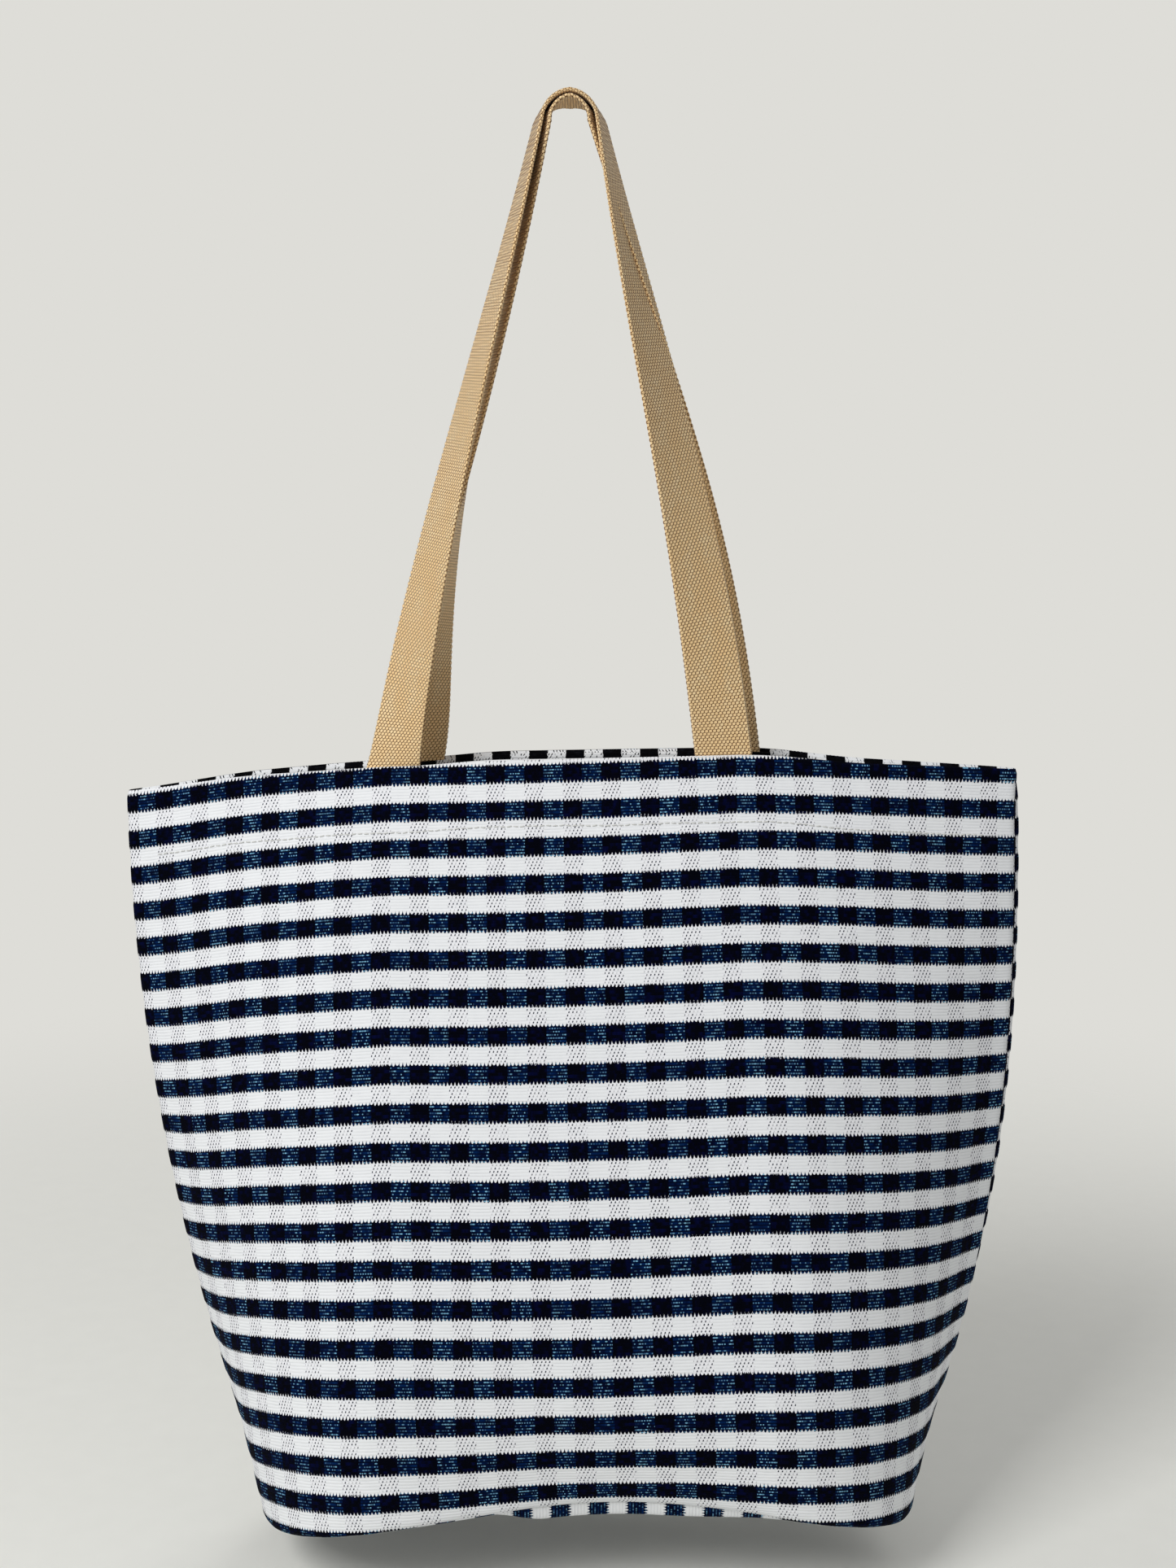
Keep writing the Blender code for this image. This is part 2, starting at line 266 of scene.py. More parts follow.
class Wall:
    """Half of the bag's wall, as a grid that is read anywhere on the cloth."""

    COLUMNS = 191
    ROWS = 212

    def __init__(self, side):
        self.side = side
        self.across = np.linspace(-1.0, 1.0, self.COLUMNS)
        self.places = self.across * RIM_HALF
        self.lengths = WALL_CLOTH - rim_dip(self.places) - corner_drop(self.places)
        if side == FRONT:
            self.lengths -= SEAM_RISE * np.exp(-((self.places - TUCK_X) / SEAM_RISE_WIDTH) ** 2)
        self.cloth = np.linspace(0.0, 1.0, self.ROWS)[:, None] * self.lengths
        self.around = np.repeat(self.places[None], self.ROWS, 0)
        self.points = self.by_cut_length(self.hang())
        edge = smoothstep(1.0, 0.93, np.abs(self.across))
        hem = smoothstep(0.0, 0.05, self.cloth) * smoothstep(0.0, 0.01, self.lengths - self.cloth)
        uneven = wrinkles(side, self.around, self.cloth) * edge * hem
        self.points += self.outward() * uneven[..., None]
        self.normals = self.outward()

    def swing(self, fall):
        """Share of the way round and half of the bag for each point, where the right seam strays."""
        stray = SEAM_SWING * smoothstep(0.0, 0.06, fall) * smoothstep(0.85, 0.5, fall)
        across = self.across + self.side * stray * np.clip(self.across, 0.0, 1.0) ** 6
        wrapped = np.abs(across) > 1.0
        side = np.where(wrapped, -self.side, self.side)
        return np.where(wrapped, np.copysign(2.0 - np.abs(across), across), across), side

    def hang(self):
        """Points of the outer face down each column, from the rim to past the lower edge."""
        fall = np.linspace(0.0, HANG_END, HANG_STEPS)[:, None]
        share = np.minimum(fall, 1.0)
        across, side = self.swing(fall)
        is_front = side < 0.0
        is_left = across < 0.0

        rim_x, rim_y = outline(RIM_LENGTH, RIM_RADIUS, RIM_RADIUS, side, across)
        bow = np.where(is_front, RIM_BOW[FRONT], RIM_BOW[BACK])
        rim_y = rim_y + side * bow * (1.0 - (2.0 * rim_x / RIM_LENGTH) ** 2)
        reach = np.where(is_front, BASE_REACH[FRONT], BASE_REACH[BACK])
        corner = np.minimum(np.where(is_left, BASE_CORNER[-1.0], BASE_CORNER[1.0]), reach)
        base_x, base_y = outline(BASE_LENGTH, reach, corner, side, across)
        base_y = base_y + BASE_Y - RIM_Y

        side_ease = np.where(is_left, SIDE_EASE[-1.0], SIDE_EASE[1.0])
        x = rim_x + (base_x - rim_x) * share ** side_ease
        y = rim_y + (base_y - rim_y) * (1.0 - (1.0 - share) ** BULGE_EASE)
        low = np.clip((fall - TUCK_START) / (1.0 - TUCK_START), 0.0, 1.3) ** 2
        y = y + np.where(is_front, TUCK, 0.0) * np.exp(-((rim_x - TUCK_X) / TUCK_WIDTH) ** 2) * low
        outer_end = (np.abs(rim_x) - DROOP_START) / (0.5 * RIM_LENGTH - DROOP_START)
        droop = DROOP * np.clip(outer_end, 0.0, 1.0) ** DROOP_EASE
        dip = rim_dip(self.places) + corner_drop(self.places)
        z = -droop - dip * np.clip(1.0 - fall / DIP_FADE, 0.0, 1.0) - WALL_DROP * fall

        yaw = RIM_YAW + (BASE_YAW - RIM_YAW) * fall
        x, y = x * np.cos(yaw) - y * np.sin(yaw), x * np.sin(yaw) + y * np.cos(yaw)
        x, z = x * math.cos(TILT) - z * math.sin(TILT), x * math.sin(TILT) + z * math.cos(TILT)
        return np.stack((x + LEAN * fall + SHIFT_X, y + RIM_Y, z + RIM_Z), -1)

    def by_cut_length(self, path):
        """Read each column at equal distances down the cloth."""
        steps = np.linalg.norm(np.diff(path, axis=0), axis=2)
        run = np.vstack((np.zeros(self.COLUMNS), np.cumsum(steps, 0)))
        read = np.empty((self.ROWS, self.COLUMNS, 3))
        for column in range(self.COLUMNS):
            read[:, column] = read_line(self.cloth[:, column], run[:, column], path[:, column])
        return read

    def outward(self):
        right = np.gradient(self.points, axis=1)
        down = np.gradient(self.points, axis=0)
        return unit(np.cross(down, right)) * -self.side

    def at(self, around, cloth, lift=0.0):
        """Points lift in front of the cloth, at distances round it from the middle and down it."""
        around, cloth, lift = np.broadcast_arrays(around, cloth, lift)
        column = (around / RIM_HALF + 1.0) * 0.5 * (self.COLUMNS - 1)
        row = cloth / np.interp(around, self.places, self.lengths) * (self.ROWS - 1)
        left = np.clip(column.astype(int), 0, self.COLUMNS - 2)
        top = np.clip(row.astype(int), 0, self.ROWS - 2)
        across = np.clip(column - left, 0.0, 1.0)[..., None]
        down = np.clip(row - top, 0.0, 1.0)[..., None]

        def read(grid):
            upper = grid[top, left] * (1.0 - across) + grid[top, left + 1] * across
            lower = grid[top + 1, left] * (1.0 - across) + grid[top + 1, left + 1] * across
            return upper * (1.0 - down) + lower * down

        return read(self.points) + unit(read(self.normals)) * lift[..., None]


def check_uv(side, around, cloth):
    """Place in the check, in repeats: whole numbers are the middles of black columns and navy rows."""
    u = (around - COLUMN_START) / COLUMN
    v = (cloth + rim_dip(around) - ROW_START + ROW_SLANT * around) / ROW
    return np.stack((u, v + (0.5 if side == BACK else 0.0)), -1)


def make_wall(name, wall, materials):
    """A panel: its face with the navy rows standing proud, its reverse and a rolled fold at the rim."""
    uv = check_uv(wall.side, wall.around, wall.cloth)
    from_row = np.abs(uv[..., 1] - np.round(uv[..., 1]))
    relief = ROW_RELIEF * smoothstep(0.30, 0.20, from_row)
    seam = np.minimum(RIM_HALF - np.abs(wall.around), wall.lengths - wall.cloth)
    groove = -0.0012 * np.exp(-(seam / 0.0016) ** 2)
    fold = 0.0006 * np.exp(-wall.cloth / 0.006)
    outer = wall.points + wall.normals * (relief + groove)[..., None]
    inner = wall.points - wall.normals * (CLOTH + fold - groove * 0.3)[..., None]
    middle = 0.5 * (outer[0] + inner[0]) + UP * 0.0006
    half_fold = 0.15 * (outer[0] - inner[0])
    outer[0] = middle + half_fold
    inner[0] = middle - half_fold
    return solid_sheet(name, outer, inner, uv, materials, wall.side == FRONT)


def make_base(name, front, back, materials):
    """The bottom, whose cloth is turned a quarter; it sags where the front's lower edge is drawn up."""
    depth = 0.5 - 0.5 * np.cos(math.pi * np.linspace(0.0, 1.0, 80))
    near = front.points[-1] - front.normals[-1] * 0.0010
    far = back.points[-1] - back.normals[-1] * 0.0010
    span = near + (far - near) * depth[:, None, None]
    from_front = depth[:, None] * np.linalg.norm(far - near, axis=1)
    shown = smoothstep(-0.045, -0.012, near[:, 0]) * smoothstep(0.130, 0.045, near[:, 0])
    sag = BASE_SAG * shown * smoothstep(0.0, 0.0035, from_front)
    span[..., 2] -= sag * np.exp(-from_front / BASE_SAG_FADE)

    steps = np.linalg.norm(np.diff(span, axis=0), axis=2)
    inwards = np.vstack((np.zeros(len(near)), np.cumsum(steps, 0)))
    u = 0.5 + (inwards - BASE_WARP_START) / COLUMN
    v = span[..., 0] / ROW + BASE_ROW_SHIFT
    down = -unit(np.cross(np.gradient(span, axis=1), np.gradient(span, axis=0)))
    down[:, 0] = down[:, -1] = -UP
    outer = span + down * 0.0002
    inner = span - down * (CLOTH - 0.0002)
    return solid_sheet(name, outer, inner, np.stack((u, v), -1), materials, False)


def strap_bulge(side, around):
    """1 where a strap's end lies under the facing, 0 away from it."""
    bulge = np.zeros(np.shape(around))
    for hand in (-1.0, 1.0):
        bulge += smoothstep(0.024, 0.016, np.abs(around - STRAP_PLACE[side, hand]))
    return bulge


def make_facing(name, wall, materials):
    """The strip inside the rim, which covers the straps' ends and bulges over them."""
    around = np.linspace(-FACING_END, FACING_END, 170) * RIM_HALF
    cloth = np.linspace(0.0008, FACING_DEPTH, 22)
    around, cloth = np.meshgrid(around, cloth)
    inset = FACING_INSET + STRAP_LUMP * strap_bulge(wall.side, around)
    turned = 0.0006 * np.exp(-((FACING_DEPTH - cloth) / 0.002) ** 2)
    outer = wall.at(around, cloth, -inset)
    inner = wall.at(around, cloth, -inset - CLOTH + turned)
    uv = check_uv(wall.side, around, -cloth)
    return solid_sheet(name, outer, inner, uv, materials, wall.side == FRONT)


# ---------------------------------------------------------------- thread

def make_stitches(name, starts, ends, normals, width, material):
    """Stitches as short rounded lengths of thread whose ends dive into the cloth."""
    shares = np.array((0.0, 0.12, 0.5, 0.88, 1.0))
    heights = np.array((-0.5, 0.35, 0.6, 0.35, -0.5)) * width
    radii = np.array((0.25, 0.5, 0.5, 0.5, 0.25)) * width
    corners = 6
    angles = np.arange(corners) * 2.0 * math.pi / corners
    along = unit(ends - starts)
    sideways = unit(np.cross(normals, along))
    rings = []
    for share, height, radius in zip(shares, heights, radii):
        middle = starts + (ends - starts) * share + normals * height
        for angle in angles:
            rings.append(middle + (sideways * math.cos(angle) + normals * math.sin(angle)) * radius)
    points = np.stack(rings, 1)

    quads = []
    for ring in range(len(shares) - 1):
        here = ring * corners
        for corner in range(corners):
            after = (corner + 1) % corners
            quads.append((here + corner, here + after, here + corners + after, here + corners + corner))
    last = (len(shares) - 1) * corners
    quads += [(3, 2, 1, 0), (5, 4, 3, 0)]
    quads += [(last, last + 1, last + 2, last + 3), (last, last + 3, last + 4, last + 5)]
    firsts = np.arange(len(points)) * points.shape[1]
    faces = (np.array(quads)[None] + firsts[:, None, None]).reshape(-1, 4)
    along_uv = np.repeat(shares, corners)
    around_uv = np.tile(angles / math.pi, len(shares))
    place = np.tile(np.stack((along_uv, around_uv), 1), (len(points), 1))
    return make_object(name, points.reshape(-1, 3), faces.tolist(), place[faces], [material])


def make_hem_stitches(name, wall, material):
    """The row of stitches that holds the facing, with the needle's small scatter."""
    index = np.arange(int(2.0 * FACING_END * RIM_HALF / HEM_PITCH))
    start = -FACING_END * RIM_HALF + index * HEM_PITCH
    scatter = 0.00025 * np.sin(index * 2.4) + 0.0002 * np.sin(index * 0.37)
    lump = STRAP_LUMP * strap_bulge(wall.side, start + 0.5 * HEM_PITCH)
    outward = unit(wall.at(start, HEM_LINE + scatter, 0.001) - wall.at(start, HEM_LINE + scatter))
    starts, ends, normals = [], [], []
    for lift, facing in ((0.00005, 1.0), (-(FACING_INSET + CLOTH + lump), -1.0)):
        starts.append(wall.at(start, HEM_LINE + scatter, lift))
        ends.append(wall.at(start + STITCH_SHARE * HEM_PITCH, HEM_LINE + np.roll(scatter, -1), lift))
        normals.append(outward * facing)
    return make_stitches(
        name, np.concatenate(starts), np.concatenate(ends), np.concatenate(normals), 0.0006, material
    )


def make_tack(name, wall, hand, material):
    """A box of stitches with a cross in it, on the facing over a strap's end."""
    middle = (STRAP_PLACE[wall.side, hand], 0.5 * (TAIL_LENGTH + 0.003))
    corners = TACK_HALF * np.array(((-1.0, -1.0), (1.0, -1.0), (1.0, 1.0), (-1.0, 1.0)))
    runs = [(corners[step], corners[(step + 1) % 4]) for step in range(4)]
    runs += [(corners[0], corners[2]), (corners[1], corners[3])]
    begin, finish = [], []
    for first, last in runs:
        count = int(np.linalg.norm(last - first) / TACK_PITCH)
        for step in range(count):
            begin.append(first + (last - first) * step / count)
            finish.append(first + (last - first) * (step + STITCH_SHARE) / count)
    begin = np.array(begin) + middle
    finish = np.array(finish) + middle
    lift = -(FACING_INSET + CLOTH + STRAP_LUMP)
    starts = wall.at(begin[:, 0], begin[:, 1], lift)
    ends = wall.at(finish[:, 0], finish[:, 1], lift)
    inward = unit(wall.at(begin[:, 0], begin[:, 1], lift - 0.001) - starts)
    return make_stitches(name, starts, ends, inward, 0.0007, material)


# ---------------------------------------------------------------- bands: webbing and seam allowances

def band_caps(stations, around, face_points):
    """Faces that close a band's two ends, where its upper and its lower face meet."""
    faces = []
    last = (stations - 1) * around
    for left in range(face_points - 1):
        right = left + 1
        below_left, below_right = (around - left) % around, around - right
        faces.append((left, below_left, below_right, right))
        faces.append((last + right, last + below_right, last + below_left, last + left))
    return [tuple(dict.fromkeys(face)) for face in faces]


def make_band(name, middles, widths, half_size, relief, pitch, material, face_points):
    """A flat band through middles with its width along widths; relief raises its two faces.

    relief(along, across) is in metres, half_size is half the width and half the thickness, and
    pitch is the size of one UV repeat across and along.
    """
    half_width, half_thickness = half_size
    run = distances(middles)
    widths = unit(widths)
    normals = unit(np.cross(widths, unit(np.gradient(middles, axis=0))))
    share = np.linspace(-1.0, 1.0, face_points)
    rounding = (1.0 - np.abs(share) ** 10) ** 0.5
    rounding[0] = rounding[-1] = 0.0
    bumps = relief(run[:, None], share * half_width) * (rounding > 0.0)
    lifts = (half_thickness * rounding + bumps)[..., None] * normals[:, None]
    bead = 1.0 + 0.012 * np.cos(2.0 * math.pi * run / pitch[1])[:, None] * (np.abs(share) > 0.9)
    spread = middles[:, None] + widths[:, None] * (share * half_width * bead)[..., None]
    ring = np.concatenate((spread + lifts, (spread - lifts)[:, -2:0:-1]), 1)

    stations, around = ring.shape[:2]
    station, corner = np.meshgrid(np.arange(stations - 1), np.arange(around), indexing="ij")
    station, corner = station.ravel(), corner.ravel()
    here, there = station * around, (station + 1) * around
    after = (corner + 1) % around
    faces = np.stack((here + corner, here + after, there + after, there + corner), 1)
    step = 2.0 * half_width / (face_points - 1) / pitch[0]
    u = np.stack((corner, corner + 1, corner + 1, corner), 1) * step
    v = run[np.stack((station, station, station + 1, station + 1), 1)] / pitch[1]
    caps = band_caps(stations, around, face_points)
    cap_uvs = np.zeros((sum(len(face) for face in caps), 2))
    uvs = np.concatenate((np.stack((u, v), -1).reshape(-1, 2), cap_uvs))
    return make_object(name, ring.reshape(-1, 3), faces.tolist() + caps, uvs, [material])


def web_relief(along, across):
    """Seeds of the webbing in staggered rows, with a heavier bead along each edge."""
    rows = np.cos(2.0 * math.pi * along / WEB_STEP)
    seeds = 0.00020 * np.cos(2.0 * math.pi * across / WEB_PITCH) * rows
    is_edge = np.abs(across) > 0.5 * STRAP_WIDTH - WEB_EDGE
    return seeds + np.where(is_edge, 0.00022 + 0.00012 * rows, 0.0)


def leg_turn(side, hand, share):
    """How far a leg has turned edge-on, by its share of the way up.

    The back strap turns further than the front one, and ends up nested inside it.
    """
    if side == FRONT:
        return FRONT_TURN * share ** (0.42 if hand < 0.0 else 1.0)
    if hand < 0.0:
        return BACK_TURN * (1.0 - (1.0 - share) ** 3.6)
    return BACK_TURN * share ** 1.3


def strap_half(wall, hand):
    """Middles and width directions of one leg, from its sewn end up to the top of the loop."""
    side = wall.side
    place = STRAP_PLACE[side, hand]
    start = wall.at(place, 0.0, -STRAP_INSET)
    rim_left = wall.at(place - 0.5 * STRAP_WIDTH, 0.0, -STRAP_INSET)
    rim_right = wall.at(place + 0.5 * STRAP_WIDTH, 0.0, -STRAP_INSET)
    rim_way = unit(rim_right - rim_left)
    tail_middles = wall.at(place, np.linspace(TAIL_LENGTH, 0.0, 12)[:-1], -STRAP_INSET)
    tail_widths = np.repeat(hand * rim_way[None], len(tail_middles), 0)

    # where the leg's straight line meets the loop's arc over the hook
    radius = HOOK_RADIUS + 0.5 * STRAP_THICKNESS
    if side == FRONT:
        radius += STRAP_THICKNESS + LOOP_GAP
    centre = np.array((0.0, LOOP_Y, -HOOK_RADIUS))
    gone_x, gone_z = hand * (start[0] - centre[0]), start[2] - centre[2]
    contact = math.atan2(gone_z, gone_x) + math.acos(radius / math.hypot(gone_x, gone_z))
    outward = np.array((hand * math.cos(contact), 0.0, math.sin(contact)))
    backward = np.array((0.0, -side, 0.0))

    share = np.linspace(0.0, 1.0, LEG_STEPS)[:, None]
    middles = start + (centre + outward * radius - start) * share
    middles = middles + outward * LEG_BOW[side, hand] * np.sin(math.pi * share) * (1.0 - share)
    middles[:, 1] = LOOP_Y + (start[1] - LOOP_Y) * (1.0 - share[:, 0] ** 3)
    level = unit(hand * rim_way + (outward - hand * rim_way) * np.minimum(share / 0.2, 1.0))
    turn = leg_turn(side, hand, share)
    widths = level * np.cos(turn) + backward * np.sin(turn)

    arc = contact + (0.5 * math.pi - contact) * np.linspace(0.0, 1.0, ARC_STEPS)[1:, None]
    radial = np.concatenate((hand * np.cos(arc), np.zeros(arc.shape), np.sin(arc)), 1)
    left_over = 0.5 * math.pi - leg_turn(side, hand, 1.0)
    left_over = left_over * np.linspace(1.0, 0.0, ARC_STEPS)[1:, None]
    arc_widths = radial * np.sin(left_over) + backward * np.cos(left_over)
    return (np.concatenate((tail_middles, middles, centre + radial * radius)),
            np.concatenate((tail_widths, widths, arc_widths)))


def make_strap(name, wall, material):
    """One length of webbing, from its left sewn end over the hook to its right one."""
    left_middles, left_widths = strap_half(wall, -1.0)
    right_middles, right_widths = strap_half(wall, 1.0)
    middles = np.concatenate((left_middles, right_middles[::-1][1:]))
    widths = np.concatenate((left_widths, right_widths[::-1][1:]))
    run = distances(middles)
    stations = np.linspace(0.0, run[-1], STRAP_STATIONS)
    return make_band(
        name, read_line(stations, run, middles), read_line(stations, run, widths),
        (0.5 * STRAP_WIDTH, 0.5 * STRAP_THICKNESS), web_relief, (WEB_PITCH, WEB_STEP), material, 45
    )


def overcast_relief(along, across):
    """Loops of overcast thread lying across a seam allowance."""
    return 0.00025 * np.cos(2.0 * math.pi * (along + 0.4 * across) / OVERCAST_PITCH)


def make_allowance(name, middles, widths, material, face_points):
    """The band that two cloth edges and the thread over them make."""
    return make_band(
        name, middles, widths, (SEAM_HALF_WIDTH, SEAM_HALF_THICKNESS), overcast_relief,
        (OVERCAST_PITCH, OVERCAST_PITCH), material, face_points
    )


def make_side_seam(name, front, back, hand, material):
    """The overcast seam allowance that stands into the bag along a side seam, waving a little."""
    cloth = np.linspace(0.004, 0.95 * WALL_CLOTH, 420)
    seam = front.at(hand * RIM_HALF, cloth)
    beside = hand * (RIM_HALF - 0.012)
    inward = unit(0.5 * (front.at(beside, cloth) + back.at(beside, cloth)) - seam)
    across = unit(np.cross(inward, np.gradient(seam, axis=0)))
    wave = 0.0006 * np.sin(cloth / 0.011) + 0.0003 * np.sin(cloth / 0.0043)
    middles = seam + inward * (SEAM_HALF_WIDTH + 0.0032) + across * wave[:, None]
    return make_allowance(name, middles, inward, material, 13)


def make_base_seam(name, front, back, material):
    """The overcast allowance that stands up inside the bag all round the base."""
    near = front.points[-1] - front.normals[-1] * BASE_SEAM_INSET
    far = (back.points[-1] - back.normals[-1] * BASE_SEAM_INSET)[::-1]
    loop = np.concatenate((near[4:-4], far[4:-4], near[4:5]))
    run = distances(loop)
    middles = read_line(np.linspace(0.0, run[-1] - 0.0005, 900), run, loop)
    middles += UP * (SEAM_HALF_WIDTH + 0.002)
    return make_allowance(name, middles, np.repeat(UP[None], len(middles), 0), material, 11)


# ---------------------------------------------------------------- materials

def colour(red, green, blue):
    """A linear colour from the 0-255 values that a screen shows."""
    channels = []
    for value in (red, green, blue):
        share = value / 255.0
        channels.append(share / 12.92 if share <= 0.04045 else ((share + 0.055) / 1.055) ** 2.4)
    return (*channels, 1.0)


class Graph:
    """A material's nodes, with short forms for the ones used most."""

    def __init__(self, name, roughness, sheen, specular=0.15):
        self.material = bpy.data.materials.new(name)
        self.material.use_nodes = True
        self.nodes = self.material.node_tree.nodes
        self.links = self.material.node_tree.links
        self.shader = self.nodes["Principled BSDF"]
        self.shader.inputs["Roughness"].default_value = roughness
        self.shader.inputs["Sheen Weight"].default_value = sheen
        self.shader.inputs["Sheen Roughness"].default_value = 0.5
        self.shader.inputs["Specular IOR Level"].default_value = specular

    def feed(self, socket, value):
        if isinstance(value, bpy.types.NodeSocket):
            self.links.new(value, socket)
        else:
            socket.default_value = value

    def math(self, operation, *values):
        node = self.nodes.new("ShaderNodeMath")
        node.operation = operation
        for socket, value in zip(node.inputs, values):
            self.feed(socket, value)
        return node.outputs[0]

    def add(self, *values):
        total = values[0]
        for value in values[1:]:
            total = self.math("ADD", total, value)
        return total

    def times(self, *values):
        product = values[0]
        for value in values[1:]:
            product = self.math("MULTIPLY", product, value)
        return product

    def minus(self, first, second):
        return self.math("SUBTRACT", first, second)

    def ramp(self, value, low, high):
        """0 at low, 1 at high, smooth between them; low may be above high."""
        node = self.nodes.new("ShaderNodeMapRange")
        node.interpolation_type = "SMOOTHSTEP"
        self.feed(node.inputs["Value"], value)
        self.feed(node.inputs["From Min"], low)
        self.feed(node.inputs["From Max"], high)
        return node.outputs["Result"]

    def vector(self, x, y, z=0.0):
        node = self.nodes.new("ShaderNodeCombineXYZ")
        for socket, value in zip(node.inputs, (x, y, z)):
            self.feed(socket, value)
        return node.outputs[0]

    def noise(self, vector, scale, detail=1.0):
        node = self.nodes.new("ShaderNodeTexNoise")
        self.feed(node.inputs["Vector"], vector)
        node.inputs["Scale"].default_value = scale
        node.inputs["Detail"].default_value = detail
        return node.outputs[0]

    def chance(self, x, y, z):
        """An even random number for each whole-numbered place."""
        node = self.nodes.new("ShaderNodeTexWhiteNoise")
        self.feed(node.inputs["Vector"], self.vector(x, y, z))
        return node.outputs[0]

    def mix(self, factor, first, second):
        node = self.nodes.new("ShaderNodeMix")
        node.data_type = "RGBA"
        self.feed(node.inputs[0], factor)
        self.feed(node.inputs[6], first)
        self.feed(node.inputs[7], second)
        return node.outputs[2]

    def uv(self):
        node = self.nodes.new("ShaderNodeUVMap")
        node.uv_map = "cloth"
        split = self.nodes.new("ShaderNodeSeparateXYZ")
        self.links.new(node.outputs[0], split.inputs[0])
        return split.outputs[0], split.outputs[1]

    def finish(self, base, height, distance):
        """Connect the colour and the height, as bump whose full height is distance."""
        self.feed(self.shader.inputs["Base Color"], base)
        bump = self.nodes.new("ShaderNodeBump")
        bump.inputs["Distance"].default_value = distance
        bump.inputs["Strength"].default_value = 1.0
        self.links.new(height, bump.inputs["Height"])
        self.links.new(bump.outputs[0], self.shader.inputs["Normal"])
        return self.material


def weave_cells(graph, u, v, ends, picks, stagger):
    """Split the cloth into cells of one warp end by one pick.

    Returns the cell's numbers and the place in it, from -0.5 to 0.5 both ways.
    """
    pick_place = graph.times(v, picks)
    pick = graph.math("ROUND", pick_place)
    down = graph.minus(pick_place, pick)
    end_place = graph.add(graph.times(u, ends), graph.times(pick, stagger))
    end = graph.math("ROUND", end_place)
    return end, pick, graph.minus(end_place, end), down


def oval(graph, across, down, half_width, half_height):
    """1 inside an oval in the middle of a cell, 0 outside it."""
    x = graph.math("DIVIDE", across, half_width)
    y = graph.math("DIVIDE", down, half_height)
    distance = graph.math("SQRT", graph.add(graph.times(x, x), graph.times(y, y)))
    return graph.ramp(distance, 1.15, 0.75)


def stripes(graph, u, v):
    """Masks of the black warp and the navy weft, with the serrated edges of real cloth."""
    wave = graph.math("PINGPONG", graph.times(u, 10.5), 0.5)
    tooth = graph.times(wave, wave, 2.0)
    tooth_size = graph.chance(graph.math("ROUND", graph.times(u, 10.5)), graph.math("ROUND", v), 4.0)
    ragged = graph.times(graph.minus(tooth, 0.2), graph.add(0.09, graph.times(tooth_size, 0.15)))
    wander = graph.times(graph.minus(graph.noise(graph.vector(u, v), 1.3), 0.5), 0.03)
    from_row = graph.math("PINGPONG", graph.add(v, ragged, wander), 0.5)
    navy = graph.ramp(from_row, 0.262, 0.246)
    pick = graph.math("ROUND", graph.times(v, 13.0))
    step = graph.chance(pick, graph.math("ROUND", graph.times(u, 2.0)), 7.0)
    shifted = graph.add(u, graph.times(graph.minus(step, 0.5), 0.02))
    from_column = graph.math("PINGPONG", shifted, 0.5)
    black = graph.ramp(from_column, 0.258, 0.242)
    return black, navy


def blue_squares(graph, u, v, pick_cell):
    """Navy weft over white warp, which shows through as rows of light flecks; also their mask."""
    end, pick, across, down = pick_cell
    luck = graph.chance(end, pick, 1.0)
    other_luck = graph.chance(end, pick, 2.0)
    square = graph.chance(graph.math("ROUND", graph.times(u, 2.0)), graph.math("ROUND", v), 3.0)
    wide = graph.add(0.26, graph.times(graph.ramp(other_luck, 0.55, 0.70), 0.34))
    fleck = graph.times(oval(graph, across, down, wide, 0.22), graph.ramp(luck, 0.30, 0.90))
    light = graph.times(fleck, graph.add(0.35, graph.times(square, 0.45)))
    blotch = graph.noise(graph.vector(graph.times(u, 4.0), graph.times(pick, 2.3), 5.0), 1.0, 2.0)
    yarn = graph.mix(graph.ramp(blotch, 0.3, 0.7), colour(0, 5, 36), colour(0, 32, 78))
    # painted shade: the navy darkens towards each pick's edges, in the groove where the picks meet
    between = graph.ramp(graph.math("ABSOLUTE", down), 0.26, 0.46)
    ground = graph.mix(between, yarn, colour(0, 4, 20))
    return graph.mix(light, ground, colour(140, 202, 234)), fleck


def white_rows(graph, u, v, pick_cell, black):
    """White weft: plain over white warp, dotted where black warp ends lie under it; also the dots."""
    pick, down = pick_cell[1], pick_cell[3]
    # painted shade: each pick greys towards its edges, in the groove where the picks meet, broken up by
    # the yarn's random tone; shade carries it into the plain white and into the white between the dots
    line = graph.ramp(graph.math("ABSOLUTE", down), 0.28, 0.5)
    yarn = graph.noise(graph.vector(graph.times(u, 2.2), graph.times(pick, 3.1), 2.0), 1.0, 2.0)
    shade = graph.times(line, graph.ramp(yarn, 0.25, 0.75))
    plain = graph.mix(shade, colour(240, 242, 244), colour(214, 216, 220))
    dot_end, dot_pick, dot_across, dot_down = weave_cells(graph, u, v, 10.0, 12.0, 0.36)
    luck = graph.chance(dot_end, dot_pick, 6.0)
    slanted = graph.add(dot_down, graph.times(dot_across, 0.5))
    dot = graph.times(oval(graph, dot_across, slanted, 0.20, 0.32), graph.ramp(luck, -0.3, 0.7))
    slub = graph.ramp(graph.noise(graph.vector(u, v, 3.0), 2.3, 2.0), 0.68, 0.78)
    dot_colour = graph.mix(slub, colour(52, 56, 70), colour(8, 10, 22))
    between = graph.mix(shade, colour(242, 243, 246), colour(216, 218, 224))
    return graph.mix(black, plain, graph.mix(dot, between, dot_colour)), dot


